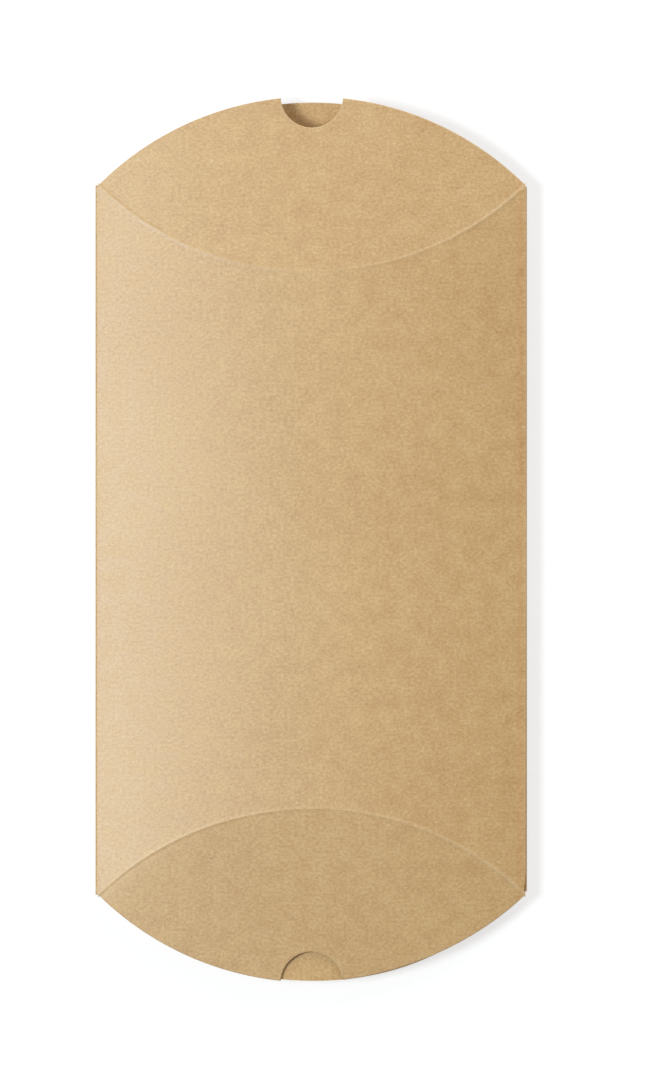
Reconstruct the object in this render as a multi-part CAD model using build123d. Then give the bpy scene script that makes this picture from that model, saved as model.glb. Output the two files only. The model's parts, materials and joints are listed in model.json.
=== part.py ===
"""A pillow box: one die-cut sheet of kraft board, folded at both sides, glued along one edge
into a flat tube, with a curved crease and a front and a back flap at each end.

It lies on its back panel, lightly bowed, with its four flaps still out straight. Every size is in
millimetres. X runs across the box, +Y towards the head end and +Z up from the table.

The board bends along straight lines that run the length of the box, so each panel and each flap
is cut into flat strips along those lines, which meet at scores and turn about them.
"""

import os
from math import atan, cos, sin, sqrt

from build123d import *

os.makedirs("parts", exist_ok=True)

# The board
board = 0.45
strips = 5
score = 0.1

# The outline of the flattened box
fold_to_fold = 110.0
side_length = 182.8
crease_dip = 22.5
outer_bulge = 22.6
thumb_radius = 8.0
back_crease_inset = 0.7
back_head_shortfall = 1.0

# How it lies
rest_rise = 5.6
head_mouth = 5.4
foot_mouth = 0.5

# The glued seam
tab_width = 13.0
tab_end_gap = 2.5
tab_taper = 13.5
glue = 0.1
glue_width = 8.0
glue_end_gap = 16.0
seam_clearance = 0.1
seam_edge_inset = 0.2

# Room for the cutting shapes
overrun = 5.0

# Worked out from the sizes above
half_width = fold_to_fold / 2
half_length = side_length / 2
strip_width = fold_to_fold / strips
strip_edges = [strip_width * n - half_width for n in range(strips + 1)]
middle_strip = strips // 2
last_strip = strips - 1
lift = board + glue + seam_clearance
middle_height = board + rest_rise + lift / 2
left_nose = lift / 2 + board
right_nose = board
sideways = (left_nose - right_nose) / 2
tall = 2 * middle_height

sides = {"front": 1, "back": -1}
ends = {"head": 1, "foot": -1}
mouths = {"head": head_mouth, "foot": foot_mouth}
crease_insets = {"front": 0, "back": back_crease_inset}
shortfalls = {("back", "head"): back_head_shortfall}


def arc_height(x, height):
    """How far an arc across the box stands off its chord at x, when it stands off by height."""
    radius = (half_width**2 + height**2) / (2 * height)
    return height - radius + sqrt(radius**2 - x**2)


def inner_height(x):
    """How far a panel's inner face stands off the box's middle plane, at a score."""
    share = arc_height(x, crease_dip) / arc_height(strip_width / 2, crease_dip)
    return lift / 2 + rest_rise * share


def across_strip(n, x, level):
    """A level at x, where strip n is straight between the levels at its two edges."""
    low, high = strip_edges[n], strip_edges[n + 1]
    return level(low) + (level(high) - level(low)) * (x - low) / (high - low)


def sheet(n, x_low, x_high, level, thickness, side, y, run):
    """A sheet on strip n, from its inner level outwards by thickness, that starts at y and runs by run."""
    low = across_strip(n, x_low, level)
    high = across_strip(n, x_high, level)
    corners = [(x_low, low), (x_high, high), (x_high, high + thickness), (x_low, low + thickness)]
    points = [(x, y, middle_height + side * out) for x, out in corners]
    section = make_face(Polyline(*points, close=True))
    return extrude(section, amount=run.length, dir=run.normalized())


def upright(plan):
    """A plan of the box, as a block through its whole height."""
    return extrude(Pos(0, 0, -overrun) * plan, amount=tall + 2 * overrun, dir=(0, 0, 1))


def panel_plan(name):
    """A panel's outline, between its two curved creases."""
    edge = half_length - crease_insets[name] - score / 2
    corners = [(half_width, -edge), (half_width, edge), (-half_width, edge), (-half_width, -edge)]
    crown = edge - crease_dip
    return make_face(
        [
            Line(corners[0], corners[1]),
            ThreePointArc(corners[1], (0, crown), corners[2]),
            Line(corners[2], corners[3]),
            ThreePointArc(corners[3], (0, -crown), corners[0]),
        ]
    )


def flap_plan(name, end):
    """A flap's outline, from its crease to its outer edge, with the thumb notch in a front flap."""
    crease = half_length - crease_insets[name] + score / 2
    edge = half_length - shortfalls.get((name, end), 0)
    root = crease - crease_dip - overrun
    corners = [(-half_width, root), (half_width, root), (half_width, edge), (-half_width, edge)]
    whole = make_face(
        [
            Line(corners[0], corners[1]),
            Line(corners[1], corners[2]),
            ThreePointArc(corners[2], (0, edge + outer_bulge), corners[3]),
            Line(corners[3], corners[0]),
        ]
    )
    low, high = (-half_width, root - overrun), (half_width, root - overrun)
    crease_ends = (half_width, crease), (-half_width, crease)
    below = make_face(
        [
            Line(low, high),
            Line(high, crease_ends[0]),
            ThreePointArc(crease_ends[0], (0, crease - crease_dip), crease_ends[1]),
            Line(crease_ends[1], low),
        ]
    )
    plan = whole - below
    if name == "front":
        plan -= Pos(0, edge + outer_bulge) * Circle(thumb_radius)
    return plan if ends[end] > 0 else mirror(plan, Plane.XZ)


def droop(name, end):
    """The slope at which a flap comes down from its crease to the mouth."""
    reach = crease_dip + crease_insets[name] + outer_bulge - shortfalls.get((name, end), 0)
    return (inner_height(strip_width / 2) - mouths[end] / 2) / reach


def strip_span(n, right_inset=0):
    """A strip's two sides, each half a score short of its neighbour's."""
    low = strip_edges[n] + (score / 2 if n else 0)
    high = strip_edges[n + 1] - (score / 2 if n < last_strip else right_inset)
    return low, high


def panel_strips(name):
    """A panel, as its strips from left to right."""
    side, plan = sides[name], upright(panel_plan(name))
    run = Vector(0, side_length + 2 * overrun, 0)
    inset = seam_edge_inset if name == "front" else 0
    return [
        sheet(n, *strip_span(n, inset), inner_height, board, side, -run.length / 2, run) & plan
        for n in range(strips)
    ]


def flap_strips(name, end):
    """A flap, as its strips from left to right."""
    side, way, slope = sides[name], ends[end], droop(name, end)
    start = half_length - crease_insets[name] - crease_dip - overrun
    angle = atan(slope)
    length = (half_length + outer_bulge + overrun - start) / cos(angle)
    run = Vector(0, way * cos(angle), -side * sin(angle)) * length

    def level(x):
        """The inner face at the flap's start, so that the middle strip meets its panel at the crown."""
        crown_drop = arc_height(strip_width / 2, crease_dip) - arc_height(x, crease_dip)
        return inner_height(x) + slope * (overrun + crown_drop)

    plan = upright(flap_plan(name, end))
    return [
        sheet(n, *strip_span(n), level, board, side, way * start, run) & plan
        for n in range(strips)
    ]


def fold_nose(x, z, outward, inner_radius, outer_radius):
    """The rounded outside of a side fold, open towards the box."""
    ring = Circle(outer_radius) - Circle(inner_radius) if inner_radius else Circle(outer_radius)
    keep = Pos(outward * outer_radius / 2, 0) * Rectangle(outer_radius, 2 * outer_radius)
    length = half_length - back_crease_inset - score
    return extrude(Plane.XZ * Pos(x, z) * (ring & keep), amount=length, both=True)


def glue_tab():
    """The tab under the front panel's right edge, with its ends cut back to clear the creases."""
    outer, inner = half_width - score / 2, half_width - tab_width
    long, short = half_length - tab_end_gap, half_length - tab_end_gap - tab_taper
    outline = [(outer, -long), (outer, long), (inner, short), (inner, -short)]
    run = Vector(0, side_length, 0)

    def level(x):
        return inner_height(x) - glue - board

    body = sheet(last_strip, inner, outer, level, board, sides["front"], -half_length, run)
    return body & upright(make_face(Polyline(*outline, close=True)))


def adhesive():
    """The line of glue between the tab and the front panel."""
    middle = half_width - tab_width / 2
    run = Vector(0, side_length - 2 * glue_end_gap, 0)
    low, high = middle - glue_width / 2, middle + glue_width / 2

    def level(x):
        return inner_height(x) - glue

    return sheet(last_strip, low, high, level, glue, sides["front"], -run.length / 2, run)


def build():
    """Every piece of the box by name."""
    pieces = {}
    for name in sides:
        for n, strip in enumerate(panel_strips(name)):
            pieces[f"{name}_panel_{n + 1}"] = strip
        for end in ends:
            for n, strip in enumerate(flap_strips(name, end)):
                pieces[f"{end}_{name}_flap_{n + 1}"] = strip
    seam_height = middle_height - lift / 2
    pieces["side_fold"] = fold_nose(-half_width, middle_height, -1, lift / 2, left_nose)
    pieces["seam_fold"] = fold_nose(half_width, seam_height, 1, 0, right_nose)
    pieces["glue_tab"] = glue_tab()
    pieces["adhesive"] = adhesive()
    return pieces


for name, piece in build().items():
    export_step(Pos(sideways, 0, 0) * piece, f"parts/{name}.step")
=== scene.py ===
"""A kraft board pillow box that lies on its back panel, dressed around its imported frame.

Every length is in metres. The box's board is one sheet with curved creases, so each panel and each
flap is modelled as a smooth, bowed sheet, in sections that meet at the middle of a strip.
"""

import json
from math import asin, cos, exp, pi, radians, sin, sqrt

import bmesh
import bpy
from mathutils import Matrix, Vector

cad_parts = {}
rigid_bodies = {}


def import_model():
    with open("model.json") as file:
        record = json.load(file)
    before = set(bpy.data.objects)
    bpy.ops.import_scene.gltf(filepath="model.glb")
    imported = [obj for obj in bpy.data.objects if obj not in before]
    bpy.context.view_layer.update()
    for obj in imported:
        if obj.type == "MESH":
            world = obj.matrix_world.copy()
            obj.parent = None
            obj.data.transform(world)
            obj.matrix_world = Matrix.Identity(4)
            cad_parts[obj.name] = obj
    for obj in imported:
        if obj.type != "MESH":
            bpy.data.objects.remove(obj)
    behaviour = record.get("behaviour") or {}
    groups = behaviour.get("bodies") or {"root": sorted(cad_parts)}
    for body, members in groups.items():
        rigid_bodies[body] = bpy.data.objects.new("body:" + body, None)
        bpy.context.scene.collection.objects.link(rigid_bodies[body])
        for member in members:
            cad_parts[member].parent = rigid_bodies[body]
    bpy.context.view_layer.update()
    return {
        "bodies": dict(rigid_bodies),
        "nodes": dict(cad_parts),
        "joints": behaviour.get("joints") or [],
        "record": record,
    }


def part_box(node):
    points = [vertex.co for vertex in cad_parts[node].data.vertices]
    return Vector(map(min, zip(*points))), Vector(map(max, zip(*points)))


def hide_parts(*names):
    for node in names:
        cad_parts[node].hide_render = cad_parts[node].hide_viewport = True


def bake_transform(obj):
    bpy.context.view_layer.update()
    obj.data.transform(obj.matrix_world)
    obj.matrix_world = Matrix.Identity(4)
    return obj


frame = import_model()

MM = 0.001

# What the frame says about the box
joints = {joint["name"]: joint for joint in frame["joints"]}
turns = {c["joint"]: abs(c["ratio"]) for c in frame["record"]["behaviour"]["couplings"]}
STRIPS = sum(name.startswith("front_panel_") for name in frame["bodies"])
MIDDLE_STRIP = (STRIPS + 1) // 2
side_fold_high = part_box("side_fold")[1]
seam_fold_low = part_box("seam_fold")[0]
middle_low, middle_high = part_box(f"front_panel_{MIDDLE_STRIP}")
back_low, back_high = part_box(f"back_panel_{MIDDLE_STRIP}")
first_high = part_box("front_panel_1")[1]
last_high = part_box(f"front_panel_{STRIPS}")[1]
tab_low, tab_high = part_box("glue_tab")
glue_low, glue_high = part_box("adhesive")

FOLD_AXIS = Vector(joints["side_fold_hinge"]["pos_m"])
BOARD = back_high.z - back_low.z
LEFT = FOLD_AXIS.x
RIGHT = seam_fold_low.x
CENTRE = (LEFT + RIGHT) / 2
HALF_WIDTH = (RIGHT - LEFT) / 2
MIDDLE_Z = FOLD_AXIS.z
NOSE = side_fold_high.z - MIDDLE_Z
LIFT = 2 * (NOSE - BOARD)
STRIP = 2 * HALF_WIDTH / STRIPS
SCORE = STRIP - (middle_high.x - middle_low.x)
RISE = MIDDLE_Z - LIFT / 2 - back_high.z
HALF_LENGTH = first_high.y + SCORE / 2
CREASE_DIP = HALF_LENGTH - joints["head_front_crease"]["pos_m"][1]
BACK_INSET = HALF_LENGTH - CREASE_DIP - joints["head_back_crease"]["pos_m"][1]
SEAM_EDGE = last_high.x - CENTRE
TAB_EDGE = tab_low.x - CENTRE
TAB_LENGTH = tab_high.y
GLUE_LENGTH = glue_high.y

# The cut of the flaps and the tab, as on the frame's solids
OUTER_BULGE = 22.6 * MM
THUMB_RADIUS = 8.0 * MM
HEAD_BACK_SHORTFALL = 1.0 * MM
FOOT_BACK_SHORTFALL = 0.4 * MM
FOOT_BACK_SHOWS = 0.2 * MM
FOOT_FRONT_TRIM = 0.55 * MM
BACK_SHOULDER_TRIM = 2.4 * MM
TAB_TAPER = 13.5 * MM
GLUE = 0.1 * MM

# The front panel's cut edge reaches past its solid, and bares the seam's fold at the foot
HEAD_OVERHANG = 0.55 * MM
FOOT_OVERHANG = 0.3 * MM
CORNER_CHIP = 0.5 * MM

# How it lies: the back panel rests on the table along a flat as wide as this on each side
FLAT = 6.0 * MM

# At the foot the flaps are pressed together, and the crease's left corner is soft
FOOT_NIP = 0.2 * MM
FOOT_PRESS = 10.5 * MM
SOFT_CORNER = 3.0 * MM

# How finely the pieces are divided
COLUMNS = 20
PANEL_ROWS = 30
FLAP_ROWS = 16
TAB_ROWS = 24
BEAD_SIDES = 16
FOLD_SIDES = 14

# The small shapes: beads in the creases, tongues between sections, bevels on the cuts
BEAD_PROUD = 0.03 * MM
TONGUE_INSET = 0.05 * MM
TONGUE_REACH = 0.25 * MM
CUT_BEVEL = 0.22 * MM

# An edge that turns by more than this is hard
SHARP = radians(35)

# A face whose normal has less than this along Z is a cut edge
EDGE_ON = 0.35

# How near counts as on a line, and how short a flap may get at its corners
NEAR = BOARD / 10
LEAST_FLAP = BOARD / 4

# The part of a score's turn that its sheet has still to make at the middle of a strip
MIDDLE_SHARE = 0.238

SIDES = {"front": 1, "back": -1}
ENDS = {"head": 1, "foot": -1}
CREASE_INSETS = {"front": 0.0, "back": BACK_INSET}
SHORTFALLS = {("head", "back"): HEAD_BACK_SHORTFALL, ("foot", "back"): FOOT_BACK_SHORTFALL}


# Shader sockets that take part in sums


class Wire:
    """One output of a material's node. Arithmetic on it adds Math nodes."""

    def __init__(self, paint, socket):
        self.paint, self.socket = paint, socket

    def math(self, operation, *values):
        return self.paint.add("ShaderNodeMath", {"operation": operation}, values)

    def __add__(self, other):
        return self.math("ADD", self, other)

    __radd__ = __add__

    def __mul__(self, other):
        return self.math("MULTIPLY", self, other)

    __rmul__ = __mul__

    def __sub__(self, other):
        return self.math("SUBTRACT", self, other)

    def __rsub__(self, other):
        return self.math("SUBTRACT", other, self)

    def size(self):
        return self.math("ABSOLUTE", self)

    def root(self):
        return self.math("SQRT", self)

    def above(self, level, softness):
        """0 below a level and 1 above it, with a soft step between."""
        settings = {"interpolation_type": "SMOOTHSTEP"}
        ends = {"Value": self, "From Min": level - softness, "From Max": level + softness}
        return self.paint.add("ShaderNodeMapRange", settings, ends)

    def below(self, level, softness):
        return 1 - self.above(level, softness)


class Paint:
    """A material and its nodes."""

    def __init__(self, name):
        self.material = bpy.data.materials.new(name)
        self.material.use_nodes = True
        self.nodes = self.material.node_tree.nodes
        self.links = self.material.node_tree.links
        self.nodes.clear()
        self.output = self.nodes.new("ShaderNodeOutputMaterial")

    def add(self, kind, settings=(), values=(), out=0):
        """Adds a node, with its settings first and then its values or links, and gives one output."""
        node = self.nodes.new(kind)
        for key, setting in dict(settings).items():
            setattr(node, key, setting)
        pairs = values.items() if isinstance(values, dict) else enumerate(values)
        for key, value in pairs:
            socket = self.socket(node, key)
            if isinstance(value, Wire):
                self.links.new(value.socket, socket)
            else:
                socket.default_value = value
        return Wire(self, node.outputs[out])

    def socket(self, node, key):
        if isinstance(key, int):
            return node.inputs[key]
        return next(s for s in node.inputs if key in (s.identifier, s.name))

    def colour(self, factor, low, high, blend="MIX"):
        """A colour from low to high by a factor."""
        settings = {"data_type": "RGBA", "blend_type": blend}
        values = {"Factor_Float": factor, "A_Color": low, "B_Color": high}
        return self.add("ShaderNodeMix", settings, values, out=2)

    def noise(self, place, scale, detail, roughness=0.5, distortion=0.0):
        values = {"Vector": place, "Scale": scale, "Detail": detail}
        values |= {"Roughness": roughness, "Distortion": distortion}
        return self.add("ShaderNodeTexNoise", {}, values)

    def part(self, place, which):
        """One number of a place: 0 across the blank, 1 along it."""
        return self.add("ShaderNodeSeparateXYZ", {}, [place], out=which)

    def stretch(self, place, across, along):
        values = [place, (across, along, 1.0)]
        return self.add("ShaderNodeVectorMath", {"operation": "MULTIPLY"}, values)

    def bump(self, strength, depth, height):
        values = {"Strength": strength, "Distance": depth, "Height": height}
        return self.add("ShaderNodeBump", {}, values)

    def finish(self, **shade):
        """Ends the material in one shader, whose inputs are named in plain words."""
        values = {key.replace("_", " "): value for key, value in shade.items()}
        return self.surface(self.add("ShaderNodeBsdfPrincipled", {}, values))

    def surface(self, shader):
        self.links.new(shader.socket, self.output.inputs["Surface"])
        return self.material


def rgb(red, green, blue):
    return (red, green, blue, 1.0)


# The board's finishes

KRAFT_DARK = rgb(0.516, 0.242, 0.037)
KRAFT_PALE = rgb(0.747, 0.482, 0.175)
FLECK = rgb(0.13, 0.075, 0.035)
FIBRE = rgb(0.88, 0.72, 0.48)
CUT_EDGE = rgb(0.84, 0.66, 0.43)
GLUE_DARK = rgb(0.62, 0.52, 0.38)
GLUE_PALE = rgb(0.78, 0.70, 0.56)
# Painted warm shade for the line beside the glued seam
PAINTED_SEAM_SHADE = rgb(1.0, 0.9, 0.78)
# Painted highlight along the creases
CREASE_HIGHLIGHT = rgb(0.86, 0.64, 0.36)
KRAFT_IOR = 1.85
KRAFT_ROUGHNESS = 0.57

# A crease's swelling, with a pale painted highlight along it: its width, and its strength in the middle
# of the box and at the sides
RIDGE = 0.8 * MM
RIDGE_MIDDLE = 0.3
RIDGE_SIDES = 1.0
RIDGE_HEIGHT = 8.0
RIDGE_HIGHLIGHT = 0.3

# Painted warm shade in a line beside the glued seam, from one distance off the edge to another
SEAM_LINE_FROM = 2.1 * MM
SEAM_LINE_TO = 0.9 * MM
SEAM_LINE_SOFT = 0.3 * MM


def crease_ridge(across, along):
    """The soft swelling of the board along a crease, 1 on the crease's line."""
    on_back = across.below(-HALF_WIDTH, MM / 100)
    x = (across + HALF_WIDTH).size() - HALF_WIDTH
    radius = (HALF_WIDTH**2 + CREASE_DIP**2) / (2 * CREASE_DIP)
    y = along + on_back * BACK_INSET - (HALF_LENGTH - CREASE_DIP + radius)
    off = (x * x + y * y).root() - radius
    return off.size().below(RIDGE / 2, RIDGE / 2)


def kraft_board(name, flat_blank=True, tint=(1.0, 1.0, 1.0), sheen=1.0):
    """Uncoated kraft board: cloudy pulp, fine grain, stray fibres and flecks. It is laid out on the
    flat blank, so that it runs on across the folds, or on the object's own coordinates."""
    paint = Paint(name)
    if flat_blank:
        place = paint.add("ShaderNodeUVMap", {"uv_map": "blank"})
    else:
        place = paint.add("ShaderNodeTexCoord", {}, (), out=3)
    drift = paint.noise(place, scale=26.0, detail=2.0)
    clouds = paint.noise(place, scale=230.0, detail=3.0, roughness=0.55)
    grain = paint.noise(paint.stretch(place, 0.85, 1.1), scale=1300.0, detail=4.0, roughness=0.7)
    pulp = paint.noise(place, scale=3400.0, detail=2.0, roughness=0.6)
    tone = (drift - 0.5) * 0.4 + (clouds - 0.5) * 0.8 + (grain - 0.5) * 2.3 + (pulp - 0.5) * 1.5
    colour = paint.colour(tone + 0.5, KRAFT_DARK, KRAFT_PALE)
    strand = paint.noise(paint.stretch(place, 0.45, 1.0), scale=380.0, detail=2.0, distortion=1.4)
    strand_here = paint.noise(place, scale=620.0, detail=1.0).above(0.60, 0.03)
    fibre = (strand - 0.5).size().below(0.007, 0.005) * strand_here
    colour = paint.colour(fibre * 0.3, colour, FIBRE)
    cells = {"Vector": place, "Scale": 80.0}
    reach = paint.add("ShaderNodeTexVoronoi", {}, cells)
    chance = paint.add("ShaderNodeTexVoronoi", {}, cells, out=1)
    picked = paint.add("ShaderNodeSeparateColor", {}, [chance]).above(0.90, 0.02)
    colour = paint.colour(reach.below(0.017, 0.008) * picked * 0.85, colour, FLECK)
    height = grain * 0.6 + pulp * 0.4 + fibre * 0.5
    if flat_blank:
        across, along = paint.part(place, 0), paint.part(place, 1).size()
        to_side = (RIDGE_SIDES - RIDGE_MIDDLE) / HALF_WIDTH
        ridge = crease_ridge(across, along) * (RIDGE_MIDDLE + to_side * across.size())
        height = height + ridge * RIDGE_HEIGHT
        # A pale painted highlight along each crease, stronger towards the sides
        colour = paint.colour(ridge * RIDGE_HIGHLIGHT, colour, CREASE_HIGHLIGHT)
        # Painted warm shade in a line beside the glued seam, multiplied into the board's colour
        painted_seam_shade = across.above(HALF_WIDTH - SEAM_LINE_FROM, SEAM_LINE_SOFT)
        painted_seam_shade = painted_seam_shade * across.below(HALF_WIDTH - SEAM_LINE_TO, SEAM_LINE_SOFT)
        colour = paint.colour(painted_seam_shade * 0.8, colour, PAINTED_SEAM_SHADE, "MULTIPLY")
    return paint.finish(
        Base_Color=paint.colour(1.0, colour, rgb(*tint), "MULTIPLY"),
        Roughness=KRAFT_ROUGHNESS + (clouds - 0.5) * 0.15,
        IOR=KRAFT_IOR,
        Specular_IOR_Level=sheen,
        Normal=paint.bump(0.35, 0.05 * MM, height),
    )


def cut_edge():
    """The raw die-cut edge: paler, open fibres."""
    paint = Paint("cut_edge")
    place = paint.add("ShaderNodeTexCoord", {}, (), out=3)
    fibres = paint.noise(place, scale=2600.0, detail=3.0, roughness=0.6)
    return paint.finish(
        Base_Color=paint.colour(fibres, KRAFT_PALE, CUT_EDGE),
        Roughness=0.8 + fibres * 0.1,
        Normal=paint.bump(0.3, 0.04 * MM, fibres),
    )


def dried_glue():
    """A thin line of dried white glue."""
    paint = Paint("dried_glue")
    place = paint.add("ShaderNodeTexCoord", {}, (), out=3)
    blots = paint.noise(place, scale=400.0, detail=2.0)
    return paint.finish(
        Base_Color=paint.colour(blots, GLUE_DARK, GLUE_PALE),
        Roughness=0.3 + blots * 0.15,
    )


OUTSIDE = kraft_board("kraft_outside")
INSIDE = kraft_board("kraft_inside", tint=(1.03, 1.06, 1.26), sheen=0.6)
SEAM_BOARD = kraft_board("kraft_seam_fold", flat_blank=False)
EDGE = cut_edge()
DRIED_GLUE = dried_glue()
BOARD_FINISH = [OUTSIDE, INSIDE, EDGE]


# The lines of the blank


def arc_radius(height):
    return (HALF_WIDTH**2 + height**2) / (2 * height)


def arc_height(x, height):
    """How far an arc across the box stands off its chord at x, when it stands off by height."""
    radius = arc_radius(height)
    return height - radius + sqrt(radius**2 - min(abs(x), HALF_WIDTH) ** 2)


def panel_height(x, name):
    """How far a panel's inner face stands off the box's middle plane."""
    if name == "front":
        share = arc_height(x, CREASE_DIP) / arc_height(STRIP / 2, CREASE_DIP)
    else:
        share = 1 - (max(abs(x) - FLAT, 0) / (HALF_WIDTH - FLAT)) ** 2
    return LIFT / 2 + RISE * share


def crease_line(x, name):
    return HALF_LENGTH - CREASE_INSETS[name] - arc_height(x, CREASE_DIP)


def outer_line(x, name, end):
    """A flap's outer edge, with the thumb notch in a front flap."""
    edge = HALF_LENGTH - SHORTFALLS.get((end, name), 0.0)
    line = edge + arc_height(x, OUTER_BULGE)
    if end == "foot" and x > 0:
        line += (FOOT_BACK_SHOWS if name == "back" else -FOOT_FRONT_TRIM) * sin(pi * x / HALF_WIDTH)
    if name == "back":
        line -= BACK_SHOULDER_TRIM * (x / HALF_WIDTH) ** 4
        line = max(line, crease_line(x, name) + LEAST_FLAP)
    if name == "front" and abs(x) < THUMB_RADIUS:
        line = min(line, edge + OUTER_BULGE - sqrt(THUMB_RADIUS**2 - x**2))
    return line


def flap_slope(name, end):
    """The slope of a flap from its crease to the mouth, from its score's axis on the frame."""
    axis = Vector(joints[f"{end}_{name}_flap_score_1"]["axis"])
    return abs(axis.z / axis.y)


def come_down(x, past, name, end):
    """How far a flap has come down from its panel, at a distance past the crease."""
    slope = flap_slope(name, end)
    if end == "head":
        return slope * past
    longest = CREASE_DIP + OUTER_BULGE
    nip = FOOT_NIP * (past / longest) ** 2
    if name == "back":
        reach = arc_height(x, CREASE_DIP) + arc_height(x, OUTER_BULGE)
        share = past / max(reach, BOARD)
        return slope * past + nip + FOOT_PRESS * share**2 * (1 - share) * reach / longest
    soft = SOFT_CORNER * max(-x / HALF_WIDTH, 0) ** 4 + NEAR
    return slope * (past - soft * (1 - exp(-past / soft))) + nip


def seam_overhang(y):
    """How far the front panel's cut edge reaches past its solid."""
    chip = CORNER_CHIP if y < BOARD - HALF_LENGTH else 0
    return even(min(max(-y / HALF_LENGTH, 0), 1), HEAD_OVERHANG, FOOT_OVERHANG) - chip


# Sheets of board, in sections


def strip_middle(n):
    """The middle of strip n, counted from 1 on the left."""
    return STRIP * (n - 0.5) - HALF_WIDTH


def section_ends(n):
    """The sides of the section that crosses score n."""
    low = strip_middle(n) if n > 1 else -HALF_WIDTH
    high = strip_middle(n + 1) if n < STRIPS - 1 else HALF_WIDTH
    return low, high


def step_place(share):
    """Where a smooth step from 0 to 1 has risen to a share of its height."""
    return 0.5 - sin(asin(1 - 2 * share) / 3)


def bend_ends(scores, n):
    """Where the bend about score n starts and ends, so that sections meet at each strip's middle."""
    turn = turns[f"{scores}_{n}"]

    def left_to_make(neighbour):
        return MIDDLE_SHARE * (turn + turns[f"{scores}_{neighbour}"]) / 2 / turn

    low, high = section_ends(n)
    from_place = step_place(left_to_make(n - 1)) if n > 1 else 0.0
    to_place = step_place(1 - left_to_make(n + 1)) if n < STRIPS - 1 else 1.0
    length = (high - low) / (to_place - from_place)
    start = low - from_place * length
    return start, start + length


def fasten(piece, scores, n):
    """Works out where a section's bend about score n starts and ends, between the strips at its two
    sides, and bakes the section's transform.
    """
    places = [(CENTRE + x, 0, MIDDLE_Z) for x in bend_ends(scores, n)]
    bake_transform(piece)


def even(share, low, high):
    return low + (high - low) * share


def notched(share, low, high):
    """Columns that follow the thumb notch's round, where a section has half of it."""
    if high <= 0:
        return -notched(1 - share, 0, -low)
    inner = THUMB_RADIUS * sin(pi * min(share, 0.5))
    return inner + max(2 * share - 1, 0) * (high - THUMB_RADIUS)


def lay_out(bm, side):
    """Gives each corner its place on the flat blank as its UV. The back lies left of the side fold."""
    uv = bm.loops.layers.uv.new("blank")
    for face in bm.faces:
        for loop in face.loops:
            x, y = loop.vert.co.xy
            loop[uv].uv = (x if side > 0 else -x - 2 * HALF_WIDTH, y)


def curved_sheet(ends, divisions, lines, height, side, thickness, spread=even):
    """A sheet between two lines across the box. Height is its outer face's, and it thickens inwards."""
    bm = bmesh.new()
    bmesh.ops.create_grid(bm, x_segments=divisions[0], y_segments=divisions[1], size=1)
    for vert in bm.verts:
        x = spread((vert.co.x + 1) / 2, *ends)
        y = even((vert.co.y + 1) / 2, *lines(x))
        vert.co = Vector((x, y, height(x, y)))
    if side < 0:
        bmesh.ops.reverse_faces(bm, faces=bm.faces[:])
    bmesh.ops.solidify(bm, geom=bm.faces[:], thickness=thickness)
    lay_out(bm, side)
    bm.normal_update()
    for face in bm.faces:
        out = face.normal.z * side
        face.material_index = 0 if out > EDGE_ON else 1 if out < -EDGE_ON else 2
    return bm


def soften(bm, on_line, finish=2):
    """Bevels the outside edge of a cut along a line, with pale fibres or the board's own finish."""
    edges = [
        e
        for e in bm.edges
        if {f.material_index for f in e.link_faces} == {0, 2} and all(on_line(v.co) for v in e.verts)
    ]
    size = {"offset": CUT_BEVEL, "segments": 1, "profile": 0.5, "material": -1}
    for face in bmesh.ops.bevel(bm, geom=edges, affect="EDGES", **size)["faces"]:
        face.material_index = finish


def join_on(bm, n, ends):
    """Runs a thin tongue into the next section, so that no gap opens between them as they bend."""
    for x in ends:
        met = [f for f in bm.faces if all(abs(v.co.x - x) < NEAR / 10 for v in f.verts)]
        if abs(x) < HALF_WIDTH - STRIP / 4:
            for face in met:
                face.material_index = 0
        if x == ends[1] and n < STRIPS - 1:
            bmesh.ops.inset_region(bm, faces=met, thickness=TONGUE_INSET, use_even_offset=True)
            tip = bmesh.ops.extrude_face_region(bm, geom=met)["geom"]
            verts = [v for v in tip if isinstance(v, bmesh.types.BMVert)]
            bmesh.ops.translate(bm, verts=verts, vec=(TONGUE_REACH, 0, 0))
            bmesh.ops.delete(bm, geom=[f for f in met if f.is_valid], context="FACES")


def add_piece(bm, name, materials):
    """Moves a shape from the box's own middle to its place on the frame, and makes it a piece."""
    bmesh.ops.translate(bm, verts=bm.verts[:], vec=(CENTRE, 0, MIDDLE_Z))
    bm.normal_update()
    for face in bm.faces:
        face.smooth = True
    for edge in bm.edges:
        edge.smooth = len(edge.link_faces) == 2 and edge.calc_face_angle(0) < SHARP
    mesh = bpy.data.meshes.new(name)
    bm.to_mesh(mesh)
    bm.free()
    for material in materials:
        mesh.materials.append(material)
    piece = bpy.data.objects.new(name, mesh)
    bpy.context.scene.collection.objects.link(piece)
    return piece


def panel(name):
    """A panel, from crease to crease."""
    side = SIDES[name]

    def height(x, y):
        return side * (panel_height(x, name) + BOARD)

    def lines(x):
        return -crease_line(x, name), crease_line(x, name)

    def at_seam(place):
        return place.x > SEAM_EDGE - 2 * NEAR

    for n in range(1, STRIPS):
        low, high = section_ends(n)
        has_seam = name == "front" and n == STRIPS - 1
        if has_seam:
            high = SEAM_EDGE
        bm = curved_sheet((low, high), (COLUMNS, PANEL_ROWS), lines, height, side, BOARD)
        if has_seam:
            for vert in bm.verts:
                if vert.co.x > SEAM_EDGE - NEAR:
                    vert.co.x += seam_overhang(vert.co.y)
            soften(bm, at_seam)
        join_on(bm, n, (low, high))
        piece = add_piece(bm, f"{name}_panel_section_{n}", BOARD_FINISH)
        fasten(piece, f"{name}_score", n)
        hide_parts(f"{name}_panel_{n}", f"{name}_panel_{n + 1}")


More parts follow.
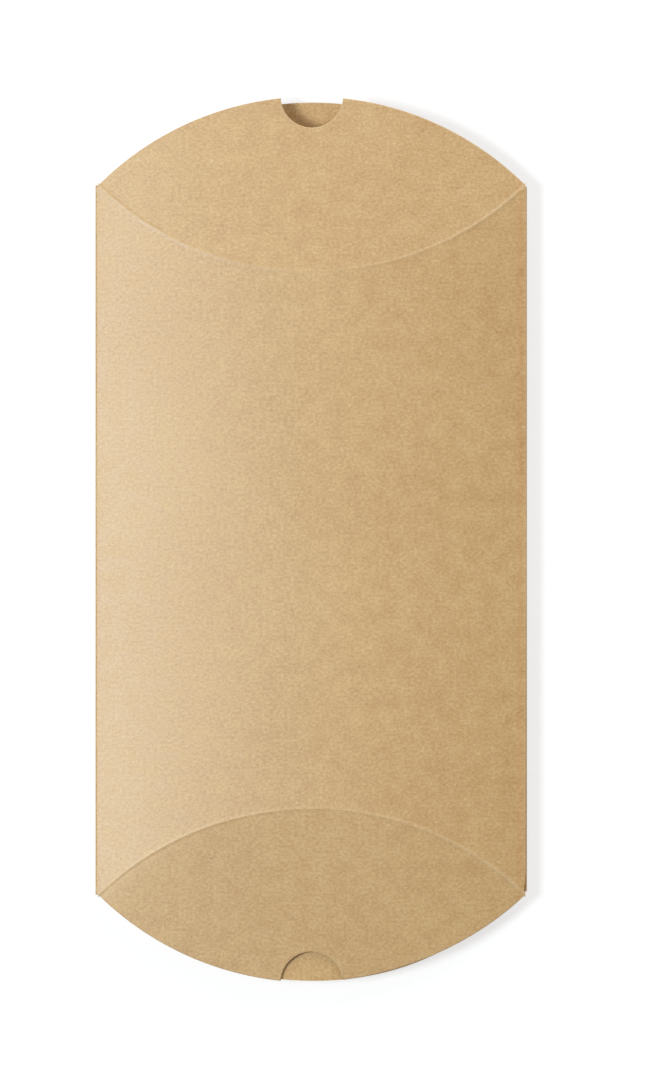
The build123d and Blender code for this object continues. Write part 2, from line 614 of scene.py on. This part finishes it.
def flap(name, end):
    """A flap, from its crease to its outer edge."""
    side, way = SIDES[name], ENDS[end]
    stem = f"{end}_{name}_flap"

    def height(x, y):
        down = come_down(x, abs(y) - crease_line(x, name), name, end)
        return side * (panel_height(x, name) + BOARD - down)

    def lines(x):
        return sorted((way * crease_line(x, name), way * outer_line(x, name, end)))

    tip = Vector((0, way * (HALF_LENGTH + OUTER_BULGE)))

    def on_notch(place):
        return abs((place.xy - tip).length - THUMB_RADIUS) < BOARD / 4

    def on_outer_line(place):
        off = abs(place.y) - outer_line(place.x, name, end)
        return abs(place.x) < HALF_WIDTH and abs(off) < NEAR

    for n in range(1, STRIPS):
        ends = section_ends(n)
        has_notch = name == "front" and 0 in [round(x / BOARD) for x in ends]
        spread, columns = (notched, 2 * COLUMNS) if has_notch else (even, COLUMNS)
        bm = curved_sheet(ends, (columns, FLAP_ROWS), lines, height, side, BOARD, spread)
        # At the foot only the right half of the notch has a pale rim
        if has_notch and (end == "head" or ends[0] > -BOARD):
            soften(bm, on_notch)
        if name == "front":
            soften(bm, on_outer_line, finish=0)
        join_on(bm, n, ends)
        piece = add_piece(bm, f"{stem}_section_{n}", BOARD_FINISH)
        fasten(piece, f"{stem}_score", n)
        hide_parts(f"{stem}_{n}", f"{stem}_{n + 1}")


def crease_bead(name, end):
    """The raised line that a creasing rule leaves, which fills the bend when the flap turns in."""
    side, way = SIDES[name], ENDS[end]
    radius = BOARD + BEAD_PROUD

    def slant(x):
        return sqrt(1 - (x / arc_radius(CREASE_DIP)) ** 2)

    for n in range(1, STRIPS):
        low, high = section_ends(n)
        bm = bmesh.new()
        size = {"segments": BEAD_SIDES, "radius1": radius, "radius2": radius, "depth": 2}
        bmesh.ops.create_cone(bm, cap_ends=True, **size)
        long_edges = [e for e in bm.edges if abs(e.verts[0].co.z - e.verts[1].co.z) > 1]
        bmesh.ops.subdivide_edges(bm, edges=long_edges, cuts=COLUMNS - 1, use_grid_fill=True)
        for vert in bm.verts:
            across, out = vert.co.x, max(vert.co.y, 0)
            x = even((vert.co.z + 1) / 2, low, high)
            y = way * crease_line(x, name) + across / slant(x)
            vert.co = Vector((x, y, side * (panel_height(x, name) + out)))
        bmesh.ops.recalc_face_normals(bm, faces=bm.faces[:])
        lay_out(bm, side)
        piece = add_piece(bm, f"{end}_{name}_crease_bead_{n}", [OUTSIDE])
        fasten(piece, f"{name}_score", n)


def side_fold():
    """The plain fold on the left: board that turns round from the front panel to the back panel."""
    bm = bmesh.new()
    bmesh.ops.create_grid(bm, x_segments=FOLD_SIDES, y_segments=PANEL_ROWS, size=1)
    for vert in bm.verts:
        angle = -pi / 2 + vert.co.x * pi / 2
        out = Vector((sin(angle) * NOSE, 0, cos(angle) * NOSE))
        length = HALF_LENGTH - BACK_INSET * max(-out.z / NOSE, 0)
        vert.co = out + Vector((-HALF_WIDTH, vert.co.y * length, 0))
    bmesh.ops.solidify(bm, geom=bm.faces[:], thickness=BOARD)
    bmesh.ops.recalc_face_normals(bm, faces=bm.faces[:])
    lay_out(bm, SIDES["front"])
    piece = add_piece(bm, "side_fold_board", [OUTSIDE])
    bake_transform(piece)
    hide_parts("side_fold")


def glued_seam():
    """The tab under the front panel's right edge, and the glue between them."""
    front = SIDES["front"]

    def tab_height(x, y):
        return panel_height(x, "front") - GLUE

    def tab_lines(x):
        end = TAB_LENGTH - TAB_TAPER * (HALF_WIDTH - x) / (HALF_WIDTH - TAB_EDGE)
        return -end, end

    def glue_height(x, y):
        return panel_height(x, "front")

    def glue_lines(x):
        return -GLUE_LENGTH, GLUE_LENGTH

    ends = (TAB_EDGE, tab_high.x - CENTRE)
    bm = curved_sheet(ends, (COLUMNS, TAB_ROWS), tab_lines, tab_height, front, BOARD)
    tab = add_piece(bm, "glue_tab_board", BOARD_FINISH)
    ends = (glue_low.x - CENTRE, glue_high.x - CENTRE)
    bm = curved_sheet(ends, (COLUMNS, TAB_ROWS), glue_lines, glue_height, front, GLUE)
    line = add_piece(bm, "glue_line", [DRIED_GLUE] * 3)
    for piece, node in ((tab, "glue_tab"), (line, "adhesive")):
        fasten(piece, "front_score", STRIPS - 1)
        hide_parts(node)


for panel_name in SIDES:
    panel(panel_name)
    for end_name in ENDS:
        flap(panel_name, end_name)
        crease_bead(panel_name, end_name)
side_fold()
glued_seam()
seam = frame["nodes"]["seam_fold"].data.materials
seam.clear()
seam.append(SEAM_BOARD)


# The studio

PHOTO_WIDTH, PHOTO_HEIGHT = 651, 1080
PIXEL = 0.2565 * MM
BOX_IN_PHOTO = (311.2, 540.0)
CAMERA_DISTANCE = 1.3
SENSOR = 36.0
FLOOR_REACH = 8.0
FLOOR_TONE = rgb(0.48, 0.48, 0.485)
FLOOR_GLOW = 0.64
WHITE = rgb(1.0, 1.0, 1.0)
WORLD_FILL = 0.3

# Each light's name, place, size, energy and colour
SOFT_LIGHTS = [
    ("key", (-0.65, -0.03, 1.05), 0.4, 8.65, (0.90, 0.98, 0.985)),
    ("head_fill", (0.4, 1.05, 0.5), 1.2, 7.5, (1.0, 0.985, 0.96)),
]


def floor():
    """A pale floor that is white to the eye and keeps the box's shadow."""
    bm = bmesh.new()
    bmesh.ops.create_grid(bm, x_segments=1, y_segments=1, size=FLOOR_REACH)
    mesh = bpy.data.meshes.new("floor")
    bm.to_mesh(mesh)
    bm.free()
    ground = bpy.data.objects.new("floor", mesh)
    bpy.context.scene.collection.objects.link(ground)
    paint = Paint("pale_floor")
    path = paint.add("ShaderNodeLightPath").socket.node.outputs
    seen = Wire(paint, path["Is Camera Ray"])
    for kind in ("Is Glossy Ray", "Is Transmission Ray"):
        seen = seen.math("MAXIMUM", seen, Wire(paint, path[kind]))
    paper = paint.add("ShaderNodeBsdfDiffuse", {}, {"Color": FLOOR_TONE})
    glow = paint.add("ShaderNodeEmission", {}, {"Strength": FLOOR_GLOW * seen})
    mesh.materials.append(paint.surface(paint.add("ShaderNodeAddShader", {}, [paper, glow])))


def lights():
    """A soft light from the left, a wider one from the head end, and an even fill."""
    world = bpy.data.worlds.new("studio_fill")
    world.use_nodes = True
    background = world.node_tree.nodes["Background"]
    background.inputs["Color"].default_value = WHITE
    background.inputs["Strength"].default_value = WORLD_FILL
    bpy.context.scene.world = world
    for name, place, size, energy, colour in SOFT_LIGHTS:
        light = bpy.data.lights.new(name, "AREA")
        light.shape, light.size, light.energy = "DISK", size, energy
        light.color = colour
        lamp = bpy.data.objects.new(name, light)
        lamp.location = place
        lamp.rotation_euler = (-lamp.location).to_track_quat("-Z", "Y").to_euler()
        bpy.context.scene.collection.objects.link(lamp)


def camera():
    """Straight above, as in the photograph."""
    lens = bpy.data.cameras.new("camera")
    lens.sensor_width = SENSOR
    lens.lens = SENSOR * CAMERA_DISTANCE / (PHOTO_HEIGHT * PIXEL)
    eye = bpy.data.objects.new("camera", lens)
    right = (PHOTO_WIDTH / 2 - BOX_IN_PHOTO[0]) * PIXEL
    up = (BOX_IN_PHOTO[1] - PHOTO_HEIGHT / 2) * PIXEL
    eye.location = (right, up, CAMERA_DISTANCE + middle_high.z)
    bpy.context.scene.collection.objects.link(eye)
    bpy.context.scene.camera = eye


floor()
lights()
camera()
bpy.context.scene.view_settings.view_transform = "Standard"
